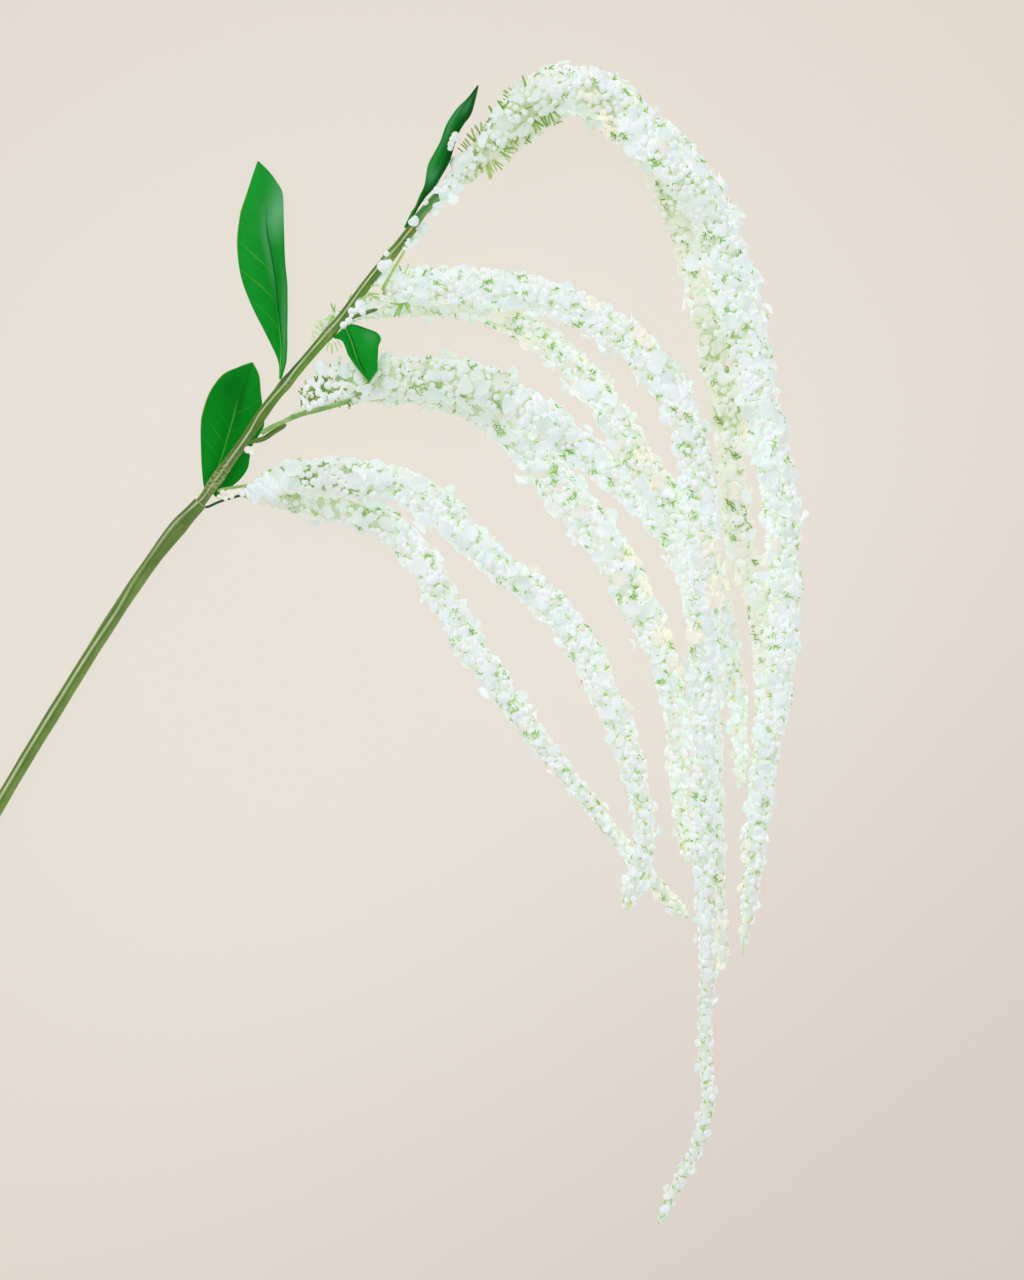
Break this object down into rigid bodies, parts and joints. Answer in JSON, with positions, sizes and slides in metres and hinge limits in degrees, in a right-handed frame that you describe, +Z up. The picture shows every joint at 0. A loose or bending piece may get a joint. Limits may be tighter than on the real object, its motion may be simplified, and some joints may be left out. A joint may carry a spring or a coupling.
{
  "type": "artificial hanging amaranth stem",
  "caption": "Cut artificial flower stem lying flat, with broad green leaves and long drooping white tassels of beads and rounded petals.",
  "frame": {"origin": "on the surface the stem lies on, under the middle of its outline seen from above", "axes": "+Z up from the surface, +Y along the longest extent towards the top leaf, +X towards the tassels"},
  "size_m": [0.4399, 0.5221, 0.0435],
  "materials": {
    "stem_green": "satin olive green with a paler seam along the side",
    "branch_green": "satin light green",
    "leaf_green": "soft sheen, bright to deep green with paler veins",
    "white_florets": "matte white foam beads with thin milky petals and light green needles",
    "wire": "satin grey"
  },
  "bodies": {
    "root": {"lower_stem": "stem_green", "upper_stem": "stem_green", "stem_wire": "wire", "stalk_1": "branch_green", "stalk_2": "branch_green", "stalk_3": "branch_green", "stalk_4": "branch_green", "leaf_1": "leaf_green", "leaf_2": "leaf_green", "leaf_3": "leaf_green", "leaf_4": "leaf_green", "tassel_1_front": "white_florets", "tassel_1_back": "white_florets", "tassel_2_upper": "white_florets", "tassel_2_lower": "white_florets", "tassel_3_upper": "white_florets", "tassel_3_lower": "white_florets", "tassel_4_upper": "white_florets", "tassel_4_lower": "white_florets"}
  },
  "joints": []
}
